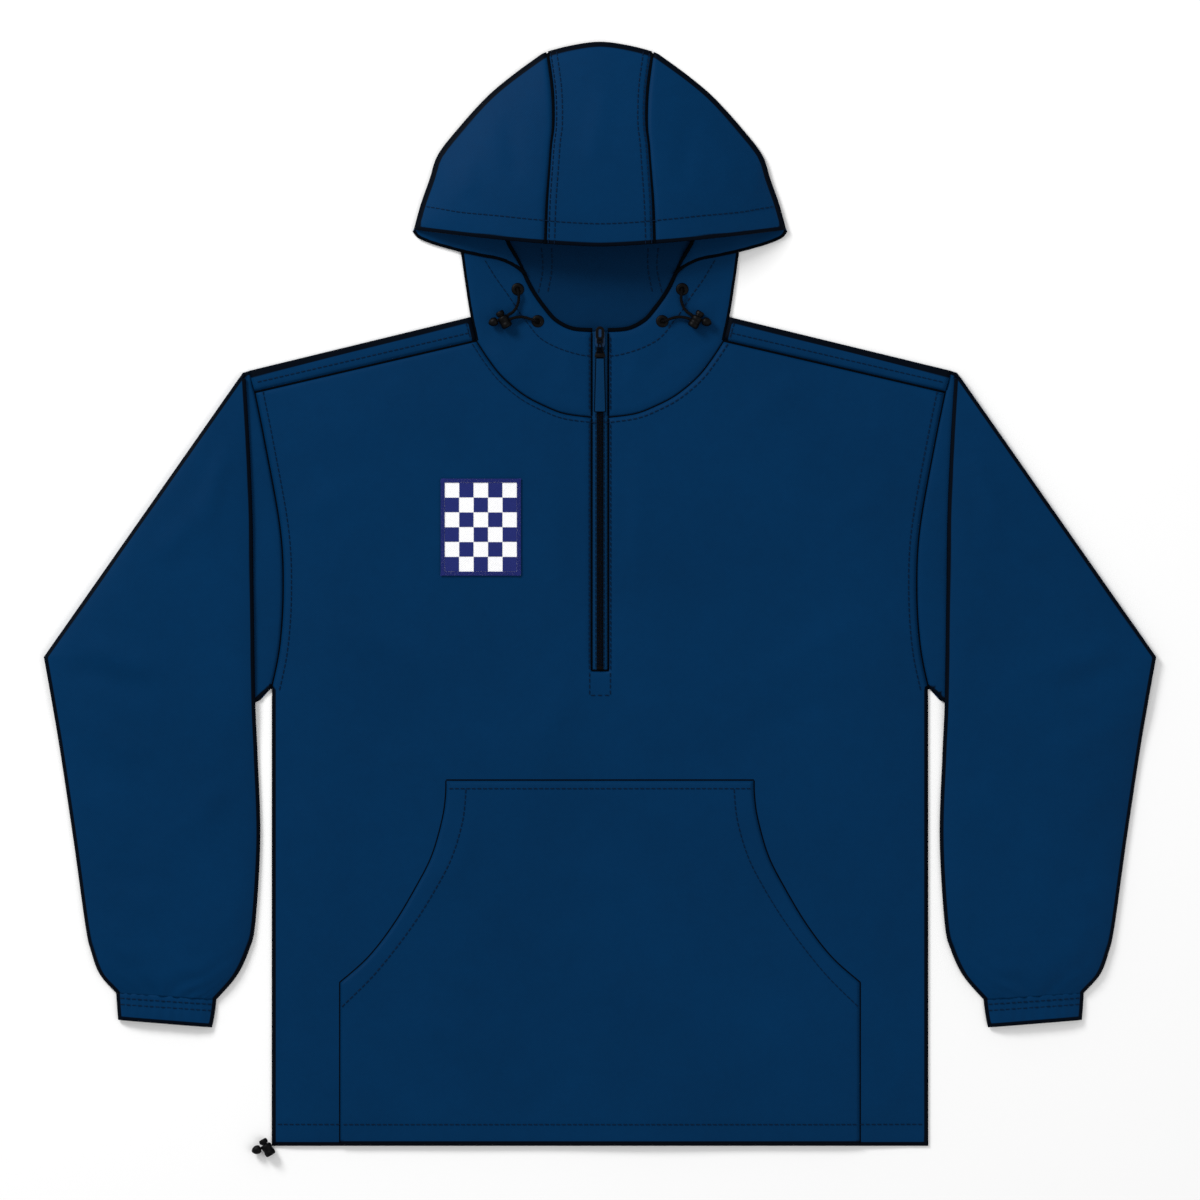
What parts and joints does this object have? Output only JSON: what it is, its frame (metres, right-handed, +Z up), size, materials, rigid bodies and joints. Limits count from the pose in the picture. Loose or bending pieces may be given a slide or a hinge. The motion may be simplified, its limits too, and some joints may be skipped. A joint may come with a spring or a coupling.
{
  "type": "hooded half-zip pullover anorak",
  "caption": "Navy hooded pullover anorak lying flat, sleeves folded down, with a half zip, drawcord locks at the hood, elastic cuffs, a chest patch and a pouch pocket.",
  "frame": {"origin": "middle of the whole garment's outline in plan, on the surface that it lies on", "axes": "+X along the garment's width towards the right of the picture, the wearer's left; +Y from the hem towards the hood; +Z up from the surface, out of the garment's front"},
  "size_m": [0.9986, 1.0013, 0.0352],
  "materials": {
    "shell": "navy woven nylon, matt with a faint sheen",
    "cuff": "the same navy nylon gathered over elastic",
    "patch": "white and indigo embroidery",
    "zip_tape": "navy woven tape",
    "zip_coil": "black nylon teeth",
    "hardware": "black painted metal, satin",
    "pull_tab": "navy tape tab",
    "cord": "black braided cord",
    "lock": "black moulded plastic"
  },
  "bodies": {
    "garment": {"back_panel": "shell", "front_panel": "shell", "pouch_pocket": "shell", "chest_patch": "patch", "collar_left": "shell", "collar_right": "shell", "hood_centre": "shell", "hood_side_left": "shell", "hood_side_right": "shell", "sleeve_left": "shell", "sleeve_right": "shell", "cuff_left": "cuff", "cuff_right": "cuff", "zip_tape": "zip_tape", "zip_coil": "zip_coil", "zip_slider": "hardware", "eyelet_upper_left": "hardware", "eyelet_lower_left": "hardware", "eyelet_upper_right": "hardware", "eyelet_lower_right": "hardware", "cord_upper_left": "cord", "cord_lower_left": "cord", "cord_upper_right": "cord", "cord_lower_right": "cord", "cord_lock_left": "lock", "cord_lock_button_left": "lock", "cord_end_left": "lock", "cord_lock_right": "lock", "cord_lock_button_right": "lock", "cord_end_right": "lock", "hem_lock": "lock", "hem_lock_button": "lock", "hem_cord_end": "lock"},
    "zip_pull": {"zip_pull_link": "hardware", "zip_pull_tab": "pull_tab"}
  },
  "joints": [
    {"name": "zip_pull_hinge", "type": "hinge", "parent": "garment", "child": "zip_pull", "pos_m": [0, 0.2307, 0.0108], "axis": [-1, 0, 0], "range_deg": [0, 165]}
  ]
}
